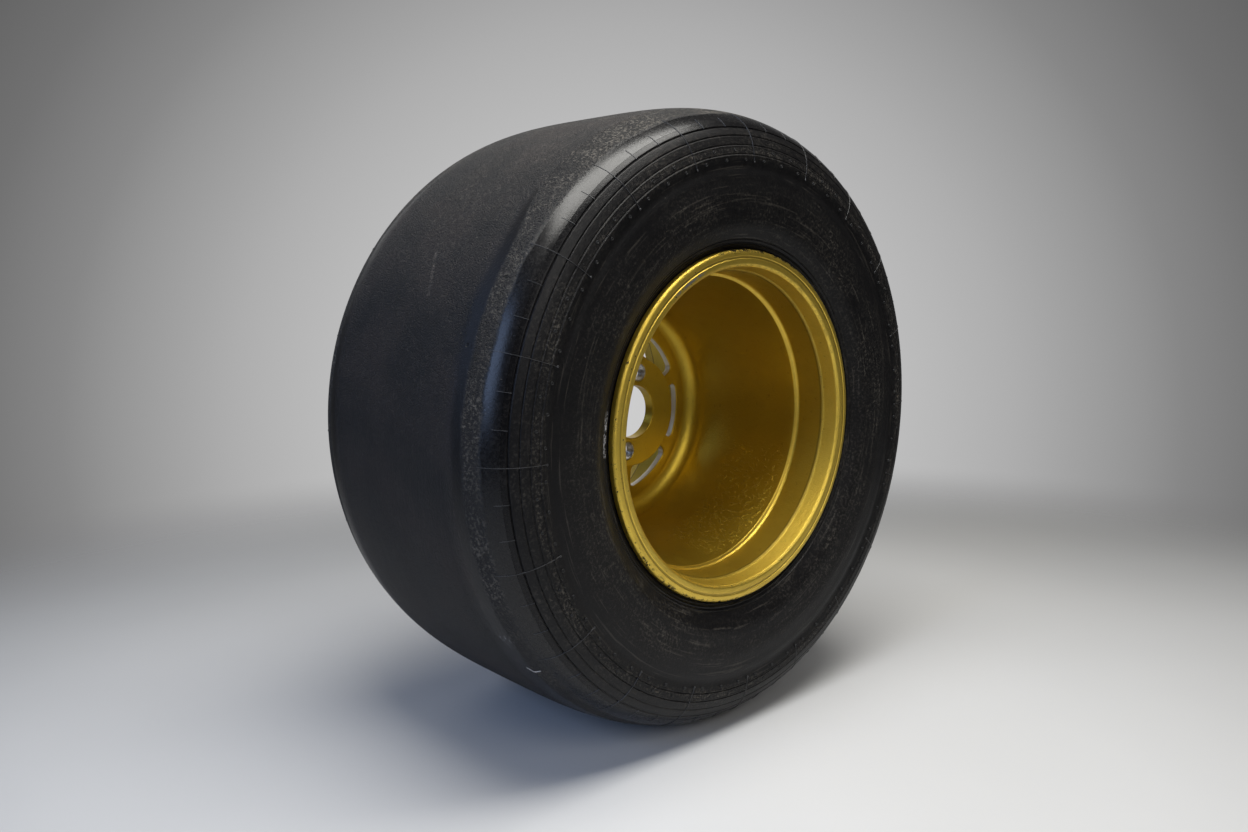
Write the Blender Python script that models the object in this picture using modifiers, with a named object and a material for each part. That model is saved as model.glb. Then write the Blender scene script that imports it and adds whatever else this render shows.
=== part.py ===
"""A slick racing tyre on a deep-dish, one-piece cast centre-lock wheel, standing on its tread.

Metres, +Z up. The origin is the wheel's centre: on the axle line (Y) and half way across the rim.
The outer side, with the open dish, faces -Y. Sizes below are in millimetres, and each turned
outline is a list of (radius, place along the axle) points.
"""

import math

import bmesh
import bpy
from mathutils import Matrix

MM = 0.001
GAP = 0.3  # between pieces that touch
SKIN_GAP = 1.0  # between the outer rubber and the plies, whose facets don't line up
SKIN_STEPS = 48  # facets round the tread, sidewalls, chafers and wheel
PLY_STEPS = 24  # facets round the pieces inside the tyre

# Tyre: a superellipse from the crown to the widest point, then the run down to the bead.
CROWN_R = 325.0
WIDEST_R = 233.0
HALF_WIDTH = 164.0
SQUARENESS = 4.1
CROWN_ANGLES = (90, 70, 50, 35, 20, 8, 0)
BEAD_RUN = ((207.0, 161.0), (190.0, 151.5), (181.5, 145.8), (170.0, 145.5))
SKIN = (7.0, 7.0, 7.0, 6.0, 3.6, 3.0, 3.0, 3.0, 3.0, 3.0, 3.0)  # outer rubber at each station
BELT = (1.5, 1.5, 1.5, 0, 0, 0, 0, 0, 0, 0, 0)  # room for the breaker
FILLER = (0, 0, 0, 0, 0, 0, 0, 0.9, 5.0, 8.3, 8.3)  # room for the bead filler and core
TREAD_END = 3
BELT_END = 2
FILLER_TOP = 7
FILLER_FOOT = 9
LAST = len(SKIN) - 1
PLY = 1.2
PATCH_HEIGHT = 321.4  # the flat that the tyre stands on lies this far below the axle line
CORE_SECTION = ((181.3, 140.9), (179.5, 134.2), (172.5, 133.6), (171.6, 135.0), (171.6, 141.2))
CHAFER_SECTION = ((168.2, 145.1), (165.4, 142.3), (165.4, 130.6), (168.2, 130.2))

# Rim: 13-inch bead seats, about 11.5 inches between the flanges.
LIP_R = 181.0
FLANGE_FACE = 146.0
SEAT_R = 165.1
WELL_R = 154.8
SEAT_SIDE = ((WELL_R, 94.0), (161.2, 102.0), (SEAT_R, 112.0), (SEAT_R, 142.6),
             (168.5, FLANGE_FACE), (179.6, FLANGE_FACE), (LIP_R, 147.3), (LIP_R, 153.2))
RIM_BAND = ((178.8, 155.0), (166.0, 154.7), (163.7, 152.8), (161.3, 136.6), (159.9, 134.8),
            (159.0, 104.0), (156.8, 101.2), (150.6, 97.4), (149.4, 94.0))

# Centre: a flat boss with a bore and two drive holes, on a dished web with seven windows.
BOSS_R = 62.6
BOSS_FACE = 10.0
BORE_R = 30.3
BORE_RIM_R = 32.6
PLATE_BACK = 22.0
BACK_RING_R = 55.6
BACK_RING_OUTER_R = 68.5
BACK_FACE = 38.0
EDGE = 0.8  # the small chamfers on the boss and its bore
BARREL_R = 131.4
FILLET = 18.5
WEB_FACE = 40.4
WEB_THICKNESS = 9.6
WEB_FOOT = ((66.5, 28.0), (BOSS_R, 26.2))
BACK_CORNER = ((122.5, 52.6), (129.0, 58.5))
DROP_WELL = ((138.6, 56.0), (138.6, 22.0))
WINDOWS = 7
WINDOW_SPAN = 41.0
FIRST_WINDOW = -6.0
WINDOW_INNER_R = 70.0
WINDOW_OUTER_R = 98.0
WINDOW_CORNER = 7.0
CORNER_EASE = 0.3  # share of a window corner taken up by its two outer points
ARC_POINT = 0.33  # where a third point lies on each long edge of a window
WINDOW_CUT = (14.0, 75.0)
DRIVE_CIRCLE_R = 45.5
DRIVE_ANGLE = 78.5
DRIVE_HOLE_R = 10.4
DRILL_END = 30.0
BUSH_RECESS = 0.4
BUSH_R = 10.1
BUSH_BORE_R = 9.2

# Tyre valve, clamped through the barrel wall on the -X side, pointing at the axle line.
VALVE_Y = -70.0
VALVE_PAD_R = 11.0
PAD_FACE = 143.4  # distance of each face from the axle line
PAD_FOOT = 149.0
SEAT_FACE = 150.2
WELL_SIDE = 170.0  # clear of the wall on the tyre's side, and on the dish's
DISH_SIDE = 120.0
VALVE_HOLE_R = 4.4
STEM_R = 4.0
STEM_BORE_R = 2.5
STEM_TIP = 108.0
FLANGE_R = 8.0
FLANGE_THICKNESS = 2.4
SEAL_THICKNESS = 2.0
WASHER_R = 9.0
WASHER_THICKNESS = 1.2
NUT_FLATS = 12.0
NUT_HEIGHT = 5.0
CORE_R = 2.2
CORE_CHAMBER_R = 1.7
CORE_THROAT_R = 0.8
CORE_LENGTH = 14.0
PIN_R = 0.45
PIN_HEAD_R = 1.8
COLLAR_R = 1.35
SPRING_R = 1.08
SPRING_WIRE_R = 0.2
SPRING_END = 0.55  # from the spring's wire centre to what it bears on
CAP_R = 5.2
CAP_SKIRT = 7.0
CAP_ROOF = 1.6


def clear_scene():
    for obj in list(bpy.data.objects):
        bpy.data.objects.remove(obj)


def collection(name):
    made = bpy.data.collections.new(name)
    bpy.context.scene.collection.children.link(made)
    return made


def finish(name, colour, roughness, metallic=0.0):
    material = bpy.data.materials.new(name)
    material.use_nodes = True
    shader = material.node_tree.nodes["Principled BSDF"]
    shader.inputs["Base Color"].default_value = (*colour, 1)
    shader.inputs["Roughness"].default_value = roughness
    shader.inputs["Metallic"].default_value = metallic
    return material


def add_object(name, mesh, material, group):
    obj = bpy.data.objects.new(name, mesh)
    group.objects.link(obj)
    if material:
        mesh.materials.append(material)
    return obj


def hide_as_cutter(obj):
    obj.hide_render = True
    obj.display_type = "WIRE"


def clockwise(points):
    """The outline turned so that its outer side runs down, which faces a Screw's skin outwards."""
    area = 0.0
    for (r0, z0), (r1, z1) in zip(points, points[1:] + points[:1]):
        area += r0 * z1 - r1 * z0
    return points if area < 0 else points[::-1]


def turned(name, outline, steps, material, group, place):
    """A closed outline of (radius, height) points in mm, turned once round its own Z."""
    start = math.pi / steps
    corners = []
    for radius, height in clockwise(list(outline)):
        corners.append((radius * MM * math.cos(start), radius * MM * math.sin(start), height * MM))
    edges = [(i, (i + 1) % len(corners)) for i in range(len(corners))]
    mesh = bpy.data.meshes.new(name)
    mesh.from_pydata(corners, edges, [])
    obj = add_object(name, mesh, material, group)
    screw = obj.modifiers.new("turn", "SCREW")
    screw.axis = "Z"
    screw.steps = steps
    screw.render_steps = steps
    screw.use_merge_vertices = False
    screw.use_smooth_shade = True
    obj.matrix_world = place
    return obj


def cylinder(name, radius, low, high, sides, group, place):
    """A plain cylinder along its own Z, from low to high in mm."""
    mesh = bpy.data.meshes.new(name)
    shape = bmesh.new()
    bmesh.ops.create_cone(shape, cap_ends=True, segments=sides, radius1=radius * MM,
                          radius2=radius * MM, depth=(high - low) * MM,
                          matrix=Matrix.Translation((0, 0, (high + low) / 2 * MM)))
    shape.to_mesh(mesh)
    shape.free()
    obj = add_object(name, mesh, None, group)
    obj.matrix_world = place
    return obj


def plate(name, outline, low, high, material, group, place):
    """A flat outline of (x, y) points in mm, given its thickness from low to high along its own Z."""
    curve = bpy.data.curves.new(name, "CURVE")
    curve.dimensions = "2D"
    curve.fill_mode = "BOTH"
    curve.extrude = (high - low) / 2 * MM
    spline = curve.splines.new("POLY")
    spline.points.add(len(outline) - 1)
    for point, (x, y) in zip(spline.points, outline):
        point.co = (x * MM, y * MM, 0, 1)
    spline.use_cyclic_u = True
    return from_curve(name, curve, material, group,
                      place @ Matrix.Translation((0, 0, (high + low) / 2 * MM)))


def from_curve(name, curve, material, group, place):
    """A curve's shape as a welded mesh object, so that it can be cut or can cut."""
    drawn = bpy.data.objects.new(name + "_curve", curve)
    group.objects.link(drawn)
    graph = bpy.context.evaluated_depsgraph_get()
    mesh = bpy.data.meshes.new_from_object(drawn.evaluated_get(graph))
    bpy.data.objects.remove(drawn)
    shape = bmesh.new()
    shape.from_mesh(mesh)
    bmesh.ops.remove_doubles(shape, verts=shape.verts, dist=1e-6)
    bmesh.ops.recalc_face_normals(shape, faces=shape.faces)
    shape.to_mesh(mesh)
    shape.free()
    obj = add_object(name, mesh, material, group)
    obj.matrix_world = place
    return obj


def boolean(target, tool, operation):
    modifier = target.modifiers.new(tool.name, "BOOLEAN")
    modifier.operation = operation
    modifier.solver = "EXACT"
    modifier.object = tool
    hide_as_cutter(tool)


def along_axle():
    """Turns an object's own Z to the axle line, +Y."""
    return Matrix.Rotation(math.radians(-90), 4, "X")


def along_valve():
    """Turns an object's own Z to +X, at the valve's place along the axle."""
    return Matrix.Translation((0, VALVE_Y * MM, 0)) @ Matrix.Rotation(math.radians(90), 4, "Y")


def on_circle(radius, angle):
    """A point seen from the outer side, with X to the right and Z up, before along_axle turns it."""
    return (radius * math.cos(math.radians(angle)), -radius * math.sin(math.radians(angle)))


# ---- the tyre's section


def outer_line():
    """The tyre's outer surface from the crown to the outer bead, as (radius, distance outboard)."""
    line = []
    power = 2 / SQUARENESS
    for angle in CROWN_ANGLES:
        up = abs(math.sin(math.radians(angle))) ** power
        out = abs(round(math.cos(math.radians(angle)), 9)) ** power
        line.append((WIDEST_R + (CROWN_R - WIDEST_R) * up, HALF_WIDTH * out))
    return line + list(BEAD_RUN)


def inward(line, i):
    """The direction into the tyre's cavity at one station, lengthened where the line bends."""
    normals = []
    for j in (i - 1, i):
        if j < 0 or j + 1 >= len(line):
            continue
        dr = line[j + 1][0] - line[j][0]
        dy = line[j + 1][1] - line[j][1]
        length = math.hypot(dr, dy)
        normals.append((-dy / length, dr / length))
    if i == 0:
        return (-1.0, 0.0)
    if len(normals) == 1:
        return normals[0]
    (r0, y0), (r1, y1) = normals
    share = 1 + r0 * r1 + y0 * y1
    return ((r0 + r1) / share, (y0 + y1) / share)


def at_depth(line, depths, first, last):
    """The outer line moved into the tyre by each station's depth, between two stations."""
    moved = []
    for i in range(first, last + 1):
        dr, dy = inward(line, i)
        moved.append((line[i][0] + dr * depths[i], line[i][1] + dy * depths[i]))
    return moved


def mirrored(points):
    return [(r, -y) for r, y in points]


def side_layer(line, top, bottom, first, last):
    """One side's closed outline between two depths, on the outer (-Y) side."""
    return mirrored(at_depth(line, top, first, last) + at_depth(line, bottom, first, last)[::-1])


def full_layer(line, top, bottom, last):
    """A closed outline across both sides between two depths."""
    outer = at_depth(line, top, 0, last)
    inner = at_depth(line, bottom, 0, last)
    return (mirrored(outer)[:0:-1] + outer) + (mirrored(inner)[:0:-1] + inner)[::-1]


def sum_of(*lists):
    return [sum(values) for values in zip(*lists)]


def make_tyre(parts, cutters):
    rubber = finish("tyre_rubber", (0.012, 0.012, 0.013), 0.62)
    fabric = finish("ply_fabric", (0.09, 0.075, 0.055), 0.85)
    liner_rubber = finish("liner_rubber", (0.02, 0.02, 0.02), 0.5)
    wire = finish("bead_wire", (0.45, 0.36, 0.24), 0.4, 1.0)
    line = outer_line()
    axle = along_axle()
    zero = [0.0] * len(line)
    skin_gap = [SKIN_GAP] * len(line)
    ply = [PLY] * len(line)
    gap = [GAP] * len(line)
    under_skin = sum_of(SKIN, skin_gap)

    tread = turned("tread_cap", full_layer(line, zero, SKIN, TREAD_END), SKIN_STEPS, rubber,
                   parts, axle)
    floor = cylinder("patch_cutter", CROWN_R, -2 * CROWN_R, -PATCH_HEIGHT, 32, cutters,
                     Matrix.Identity(4))
    boolean(tread, floor, "DIFFERENCE")

    wall_line = list(line)
    (r0, y0), (r1, y1) = line[TREAD_END], line[TREAD_END + 1]
    step = GAP / math.hypot(r1 - r0, y1 - y0)
    wall_line[TREAD_END] = (r0 + (r1 - r0) * step, y0 + (y1 - y0) * step)
    wall = side_layer(wall_line, zero, SKIN, TREAD_END, LAST)
    turned("sidewall_outer", wall, SKIN_STEPS, rubber, parts, axle)
    turned("sidewall_inner", mirrored(wall), SKIN_STEPS, rubber, parts, axle)

    belt = full_layer(line, under_skin, sum_of(under_skin, ply), BELT_END)
    turned("breaker_ply", belt, PLY_STEPS, fabric, parts, axle)

    ply_top = sum_of(under_skin, BELT, FILLER)
    ply_bottom = sum_of(ply_top, ply)
    liner_top = sum_of(ply_bottom, gap)
    turned("carcass_ply", full_layer(line, ply_top, ply_bottom, LAST), PLY_STEPS, fabric, parts,
           axle)
    turned("inner_liner", full_layer(line, liner_top, sum_of(liner_top, ply), LAST), PLY_STEPS,
           liner_rubber, parts, axle)

    filler_bottom = [depth - GAP for depth in sum_of(under_skin, FILLER)]
    filler = side_layer(line, under_skin, filler_bottom, FILLER_TOP, FILLER_FOOT)
    for side, flip in (("outer", list), ("inner", mirrored)):
        turned("bead_filler_" + side, flip(filler), PLY_STEPS, rubber, parts, axle)
        turned("bead_core_" + side, flip(mirrored(CORE_SECTION)), PLY_STEPS, wire, parts, axle)
        turned("chafer_" + side, flip(mirrored(CHAFER_SECTION)), SKIN_STEPS, fabric, parts, axle)


# ---- the wheel


def rim_half():
    """The rim's section from its well to the dish, over the flange, for the +Y side."""
    return list(SEAT_SIDE + RIM_BAND)


def web_front():
    """From the foot of the barrel round the fillet, down the dished web to the boss's foot."""
    centre_r = BARREL_R - FILLET
    arc = []
    for angle in (0, 30, 60, 90):
        turn = math.radians(angle)
        arc.append((centre_r + FILLET * math.cos(turn), WEB_FACE - FILLET * (1 - math.sin(turn))))
    return arc + list(WEB_FOOT)


def wheel_outline():
    front_rim = mirrored(rim_half())
    bore_rim_face = BOSS_FACE - EDGE
    boss = [(BOSS_R, BOSS_FACE + EDGE), (BOSS_R - EDGE, BOSS_FACE), (BORE_RIM_R, BOSS_FACE),
            (BORE_RIM_R - EDGE / 2, bore_rim_face), (BORE_R + EDGE / 2, bore_rim_face),
            (BORE_R, bore_rim_face + EDGE / 2), (BORE_R, PLATE_BACK), (BACK_RING_R, PLATE_BACK),
            (BACK_RING_R, BACK_FACE), (BACK_RING_OUTER_R, BACK_FACE)]
    back_web = [(BARREL_R - FILLET, WEB_FACE + WEB_THICKNESS)] + list(BACK_CORNER)
    return front_rim + web_front() + boss + back_web + rim_half()[::-1] + list(DROP_WELL)


def window_outline(middle):
    """A rounded window between two radii, as points seen along the axle."""
    points = []
    half = WINDOW_SPAN / 2
    for radius, side, rise in ((WINDOW_OUTER_R, 1, -1), (WINDOW_OUTER_R, -1, -1),
                               (WINDOW_INNER_R, -1, 1), (WINDOW_INNER_R, 1, 1)):
        inset = math.degrees(WINDOW_CORNER / (radius + rise * WINDOW_CORNER))
        corner = [(radius + rise * WINDOW_CORNER, side * half),
                  (radius + rise * WINDOW_CORNER * CORNER_EASE,
                   side * (half - inset * CORNER_EASE)),
                  (radius, side * (half - inset))]
        straight = [(radius, side * (half - inset) * ARC_POINT)]
        points += corner + straight if side * rise < 0 else straight + corner[::-1]
    return [on_circle(radius, middle + angle) for radius, angle in points]


def make_wheel(parts, cutters):
    gold = finish("gold_paint", (0.42, 0.29, 0.035), 0.42, 0.55)
    steel = finish("bush_steel", (0.35, 0.34, 0.32), 0.4, 1.0)
    axle = along_axle()
    wheel = turned("wheel_casting", wheel_outline(), SKIN_STEPS, gold, parts, axle)

    pad = cylinder("valve_pad", VALVE_PAD_R, -PAD_FOOT, -PAD_FACE, 24, cutters, along_valve())
    boolean(wheel, pad, "UNION")
    seat = cylinder("seal_seat_cutter", VALVE_PAD_R, -WELL_SIDE, -SEAT_FACE, 24, cutters,
                    along_valve())
    boolean(wheel, seat, "DIFFERENCE")
    hole = cylinder("valve_hole_cutter", VALVE_HOLE_R, -WELL_SIDE, -DISH_SIDE, 20, cutters,
                    along_valve())
    boolean(wheel, hole, "DIFFERENCE")

    for i in range(WINDOWS):
        middle = FIRST_WINDOW + i * 360 / WINDOWS
        window = plate(f"window_cutter_{i + 1}", window_outline(middle), *WINDOW_CUT,
                       None, cutters, axle)
        boolean(wheel, window, "DIFFERENCE")

    for i in range(2):
        x, y = on_circle(DRIVE_CIRCLE_R, DRIVE_ANGLE + 180 * i)
        place = axle @ Matrix.Translation((x * MM, y * MM, 0))
        drill = cylinder(f"drive_hole_cutter_{i + 1}", DRIVE_HOLE_R, 0, DRILL_END, 24, cutters,
                         place)
        boolean(wheel, drill, "DIFFERENCE")
        bush_face = BOSS_FACE + BUSH_RECESS
        bush = [(BUSH_R, bush_face), (BUSH_R, PLATE_BACK), (BUSH_BORE_R, PLATE_BACK),
                (BUSH_BORE_R, bush_face)]
        turned(f"drive_bush_{i + 1}", bush, 24, steel, parts, place)


# ---- the valve, with heights measured along its own Z, which is the world's +X


def make_valve(parts, cutters):
    brass = finish("valve_brass", (0.55, 0.42, 0.2), 0.35, 1.0)
    steel = finish("valve_steel", (0.5, 0.5, 0.5), 0.35, 1.0)
    rubber = finish("seal_rubber", (0.015, 0.015, 0.015), 0.6)
    plastic = finish("cap_plastic", (0.02, 0.02, 0.02), 0.45)
    place = along_valve()
    seat = -SEAT_FACE
    pad = -PAD_FACE
    tip = -STEM_TIP

    seal_foot = seat - GAP - SEAL_THICKNESS
    seal = [(FLANGE_R, seal_foot), (FLANGE_R, seat - GAP), (VALVE_HOLE_R, seat - GAP),
            (VALVE_HOLE_R, seal_foot)]
    turned("valve_seal", seal, 20, rubber, parts, place)
    flange = seal_foot - GAP
    flange_foot = flange - FLANGE_THICKNESS
    stem = [(STEM_R, tip + EDGE / 2), (STEM_R, flange), (FLANGE_R, flange),
            (FLANGE_R, flange_foot), (STEM_BORE_R, flange_foot), (STEM_BORE_R, tip),
            (STEM_R - EDGE / 2, tip)]
    turned("valve_stem", stem, 20, brass, parts, place)

    washer_low = pad + GAP
    washer_high = washer_low + WASHER_THICKNESS
    washer = [(WASHER_R, washer_low), (WASHER_R, washer_high), (VALVE_HOLE_R, washer_high),
              (VALVE_HOLE_R, washer_low)]
    turned("valve_washer", washer, 20, steel, parts, place)

    corner = NUT_FLATS / 2 / math.cos(math.radians(30))
    hexagon = []
    for i in range(6):
        turn = math.radians(60 * i)
        hexagon.append((corner * math.cos(turn), corner * math.sin(turn)))
    nut_low = washer_high + GAP
    nut = plate("valve_nut", hexagon, nut_low, nut_low + NUT_HEIGHT, brass, parts, place)
    thread = cylinder("nut_bore_cutter", STEM_R + GAP, -PAD_FOOT, -DISH_SIDE, 20, cutters, place)
    boolean(nut, thread, "DIFFERENCE")

    top = tip - CAP_ROOF
    chamber_top = top - 3.0
    foot = top - CORE_LENGTH
    chamber_foot = foot + 2.0
    core = [(CORE_R, foot), (CORE_R, top), (CORE_CHAMBER_R, top),
            (CORE_CHAMBER_R, chamber_foot), (CORE_THROAT_R, chamber_foot), (CORE_THROAT_R, foot)]
    turned("valve_core", core, 14, brass, parts, place)
    collar_top = chamber_top - GAP
    collar_low = collar_top - 0.8
    head_top = foot - GAP
    head_foot = head_top - 1.0
    pin_tip = tip - 0.6
    hairline = 0.02  # a turned outline stays this far off the axis, and a plain rod fills it
    pin = [(PIN_R, pin_tip), (PIN_R, collar_top), (COLLAR_R, collar_top), (COLLAR_R, collar_low),
           (PIN_R, collar_low), (PIN_R, head_top), (PIN_HEAD_R, head_top),
           (PIN_HEAD_R, head_foot), (hairline, head_foot), (hairline, pin_tip)]
    pin_object = turned("valve_pin", pin, 12, steel, parts, place)
    rod = cylinder("pin_middle", PIN_R / 2, head_foot, pin_tip, 12, cutters, place)
    boolean(pin_object, rod, "UNION")

    spring(chamber_foot + SPRING_END, collar_low - SPRING_END, steel, parts, place)

    cap_bore_r = STEM_R + GAP
    cap_open = tip - CAP_SKIRT
    cap_roof = tip + CAP_ROOF
    cap_top = cap_roof + 1.8
    cap = [(CAP_R, cap_open), (CAP_R, cap_top - EDGE), (CAP_R - EDGE, cap_top),
           (hairline, cap_top), (hairline, cap_roof), (cap_bore_r, cap_roof),
           (cap_bore_r, cap_open)]
    cap_object = turned("valve_cap", cap, 20, plastic, parts, place)
    middle = cylinder("cap_middle", 1.0, cap_roof, cap_top, 12, cutters, place)
    boolean(cap_object, middle, "UNION")
    seal_r = STEM_R - 0.1
    cap_seal = [(seal_r, tip + GAP), (seal_r, cap_roof - GAP), (seal_r / 2, cap_roof - GAP),
                (seal_r / 2, tip + GAP)]
    turned("valve_cap_seal", cap_seal, 16, rubber, parts, place)


def spring(low, high, material, parts, place):
    turns = 5
    points_a_turn = 8
    count = turns * points_a_turn
    curve = bpy.data.curves.new("valve_spring", "CURVE")
    curve.dimensions = "3D"
    curve.bevel_depth = SPRING_WIRE_R * MM
    curve.bevel_resolution = 0
    curve.use_fill_caps = True
    spline = curve.splines.new("POLY")
    spline.points.add(count)
    for i, point in enumerate(spline.points):
        turn = 2 * math.pi * i / points_a_turn
        height = low + (high - low) * i / count
        point.co = (SPRING_R * MM * math.cos(turn), SPRING_R * MM * math.sin(turn), height * MM, 1)
    from_curve("valve_spring", curve, material, parts, place)


def main():
    clear_scene()
    parts = collection("racing_wheel_and_tyre")
    cutters = collection("cutters")
    make_tyre(parts, cutters)
    make_wheel(parts, cutters)
    make_valve(parts, cutters)


main()
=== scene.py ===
"""A worn racing slick on a gold cast wheel: fine shapes, moulded marks and finishes.

Metres, +Z up. The origin is the wheel's centre, the axle line is Y, and the open dish faces -Y.
A section is a list of (radius, place along the axle) points in millimetres, and an angle round
the axle is 0 on the +X side and 90 degrees at the top.
"""

import math

import bmesh
import bpy
from mathutils import Matrix, Vector


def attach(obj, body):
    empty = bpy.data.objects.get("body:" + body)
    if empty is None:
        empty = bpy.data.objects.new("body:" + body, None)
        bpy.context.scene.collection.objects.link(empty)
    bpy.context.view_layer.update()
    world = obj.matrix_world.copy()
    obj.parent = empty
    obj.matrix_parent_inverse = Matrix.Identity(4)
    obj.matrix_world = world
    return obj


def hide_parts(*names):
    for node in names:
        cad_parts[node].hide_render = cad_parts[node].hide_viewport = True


bl_info = {
    "name": "Racing slick and cast wheel",
    "version": (1, 0, 0),
    "blender": (4, 5, 0),
    "location": "View3D > Sidebar > Slick",
    "description": "Builds the worn slick, its gold wheel, the valve and the studio",
    "category": "Object",
}

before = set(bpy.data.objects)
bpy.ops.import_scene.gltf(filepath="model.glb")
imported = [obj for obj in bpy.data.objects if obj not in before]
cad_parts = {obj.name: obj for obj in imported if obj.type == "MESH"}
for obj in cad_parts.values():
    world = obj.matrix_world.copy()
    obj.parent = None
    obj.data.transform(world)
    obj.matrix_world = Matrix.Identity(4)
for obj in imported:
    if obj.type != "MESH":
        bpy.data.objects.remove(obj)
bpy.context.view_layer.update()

MM = 0.001
BODY = "wheel_and_tyre"

# The tyre's section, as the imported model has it.
CROWN_R = 325.0
WIDEST_R = 233.0
HALF_WIDTH = 164.0
POWER = 2 / 4.1
PATCH_HEIGHT = 321.4
TREAD_END_R = 303.1
BEAD_RUN = ((233.0, 164.0), (220.0, 163.4), (207.0, 161.0), (197.0, 155.8), (190.0, 151.5),
            (181.5, 145.8), (176.0, 145.5), (170.0, 145.5))
TREAD_RUBBER = 7.0
WALL_RUBBER = 3.0

# Moulded rings on a sidewall: (radius, height, half width).
RINGS = ((298.4, -1.1, 1.0), (290.0, -0.9, 0.8), (281.0, -0.8, 0.7), (279.6, 0.25, 0.9),
         (272.3, -0.8, 0.7), (270.8, 0.5, 1.1), (261.0, -1.8, 9.0), (236.0, 1.0, 15.0),
         (191.0, -0.5, 0.8), (187.4, 0.8, 0.9), (184.0, 0.5, 0.8))

# Wheel casting: (radius, distance from the mid-plane, rounding) round the outer rim's section.
RIM_CORNERS = ((157.5, 92.0, 4), (161.4, 102.0, 3), (165.1, 112.0, 4), (165.1, 142.6, 2),
               (168.5, 146.0, 1.5), (179.6, 146.0, 0.8), (181.0, 147.3, 0.8),
               (181.0, 153.2, 1.6), (178.8, 155.0, 1.6), (174.6, 155.4, 0.4),
               (174.0, 154.6, 0.3), (172.2, 154.6, 0.3), (171.6, 155.3, 0.4),
               (166.3, 154.9, 1.4), (163.9, 152.4, 1.2), (161.4, 136.8, 0.9),
               (159.6, 134.9, 0.6), (158.9, 104.2, 1.0), (157.4, 101.8, 0.7),
               (154.6, 100.6, 0.9))
BARREL_FOOT = (131.4, 21.9)
FILLET = 18.5
WEB_RISE = 12.4 / 46.4  # how far the dished web's front goes back for each mm outwards
BOSS_R = 62.6
BOSS_FACE = 10.0
BORE_R = 30.3
PLATE_BACK = 22.0
BACK_RING_R = 59.5
BACK_FACE = 38.0
WEB_FRONT = (66.5, 28.0)
WEB_BACK = (68.5, BACK_FACE)
WEB_BACK_RISE = 0.27
WINDOWS = 7
FIRST_WINDOW = -6.0
WINDOW_HALF_SPAN = 20.5
WINDOW_R = (70.0, 98.0)
WINDOW_CORNER = 7.0
DRIVE_CIRCLE_R = 45.5
DRIVE_ANGLES = (78.5, 258.5)
DRIVE_HOLE_R = 10.4
DRIVE_CUT = (BOSS_FACE - 0.8, 30.0)
BUSH_R = (9.2, 10.1)
BUSH_FACE = 10.4
VALVE_Y = -70.0
VALVE_PAD_R = 11.0
VALVE_PAD = (-149.0, -143.4)
SEAL_CUT = (-170.0, -150.2)
VALVE_HOLE_R = 4.4
VALVE_CUT = (-175.0, -120.0)
CAP_R = 5.0
CAP_OPEN, CAP_TOP = -115.0, -104.6
CAP_WALL = 0.7
RIB_HEIGHT = 0.38

SUNK = -0.0005  # a moulded mark's foot starts this far under the skin
ROUND_SPREAD = 100.0  # features of a ring pattern round the axle, in mm a radian
# Middle of the floor's painted pool of light, in mm.
FLOOR_R = 4.0  # this one in metres
LIGHT_POOL_CENTRE = (-95, -321, 0)
GLOW = (0.675, 0.724, -0.143)  # where the backdrop is brightest


# ---- sizes and colours that can be changed in the sidebar


class SlickSizes(bpy.types.PropertyGroup):
    """Sizes of the tyre's moulded detail."""

    steps: bpy.props.IntProperty(name="Steps round", description="Facets round the tyre",
                                 default=256, min=48, max=400)
    tick_count: bpy.props.IntProperty(name="Ticks", description="Moulded ticks round a sidewall",
                                      default=60, min=3, max=120)
    tick_height: bpy.props.FloatProperty(name="Tick height", default=0.00045, unit="LENGTH",
                                         description="How proud a tick stands")
    tick_width: bpy.props.FloatProperty(name="Tick width", default=0.0008, unit="LENGTH",
                                        description="Width at a tick's foot")
    first_tick: bpy.props.FloatProperty(name="First long tick", default=math.radians(0.4),
                                        subtype="ANGLE", description="Turn of a long tick")
    pip_diameter: bpy.props.FloatProperty(name="Vent pip", default=0.0032, unit="LENGTH",
                                          description="Diameter of a trimmed vent pip")


class WheelSizes(bpy.types.PropertyGroup):
    """Sizes of the wheel's fine shapes."""

    steps: bpy.props.IntProperty(name="Steps round", description="Facets round the wheel",
                                 default=256, min=48, max=400)
    window_edge: bpy.props.FloatProperty(name="Window edge", default=0.0016, unit="LENGTH",
                                         description="Rounding of the window edges")
    knurls: bpy.props.IntProperty(name="Cap ribs", description="Ribs round the valve cap",
                                  default=26, min=6, max=60)


class SlickFinishes(bpy.types.PropertyGroup):
    """Colours of the finishes."""

    rubber: bpy.props.FloatVectorProperty(name="Rubber", subtype="COLOR", size=3, min=0, max=1,
                                          default=(0.0046, 0.0044, 0.0049),
                                          description="Clean black rubber")
    dust: bpy.props.FloatVectorProperty(name="Dust", subtype="COLOR", size=3, min=0, max=1,
                                        default=(0.112, 0.101, 0.086),
                                        description="Dry grey-brown dust on the rubber")
    gold: bpy.props.FloatVectorProperty(name="Gold", subtype="COLOR", size=3, min=0, max=1,
                                        default=(0.43, 0.290, 0.018),
                                        description="Metallic paint on the barrel")
    # The lighter gold below is painted light for the lip, the rim band, the bead shelf and the ridge.
    lit_gold: bpy.props.FloatVectorProperty(name="Gold, lip", subtype="COLOR", size=3, min=0,
                                              max=1, default=(0.80, 0.565, 0.085),
                                              description="Lighter paint on the lip")


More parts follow.
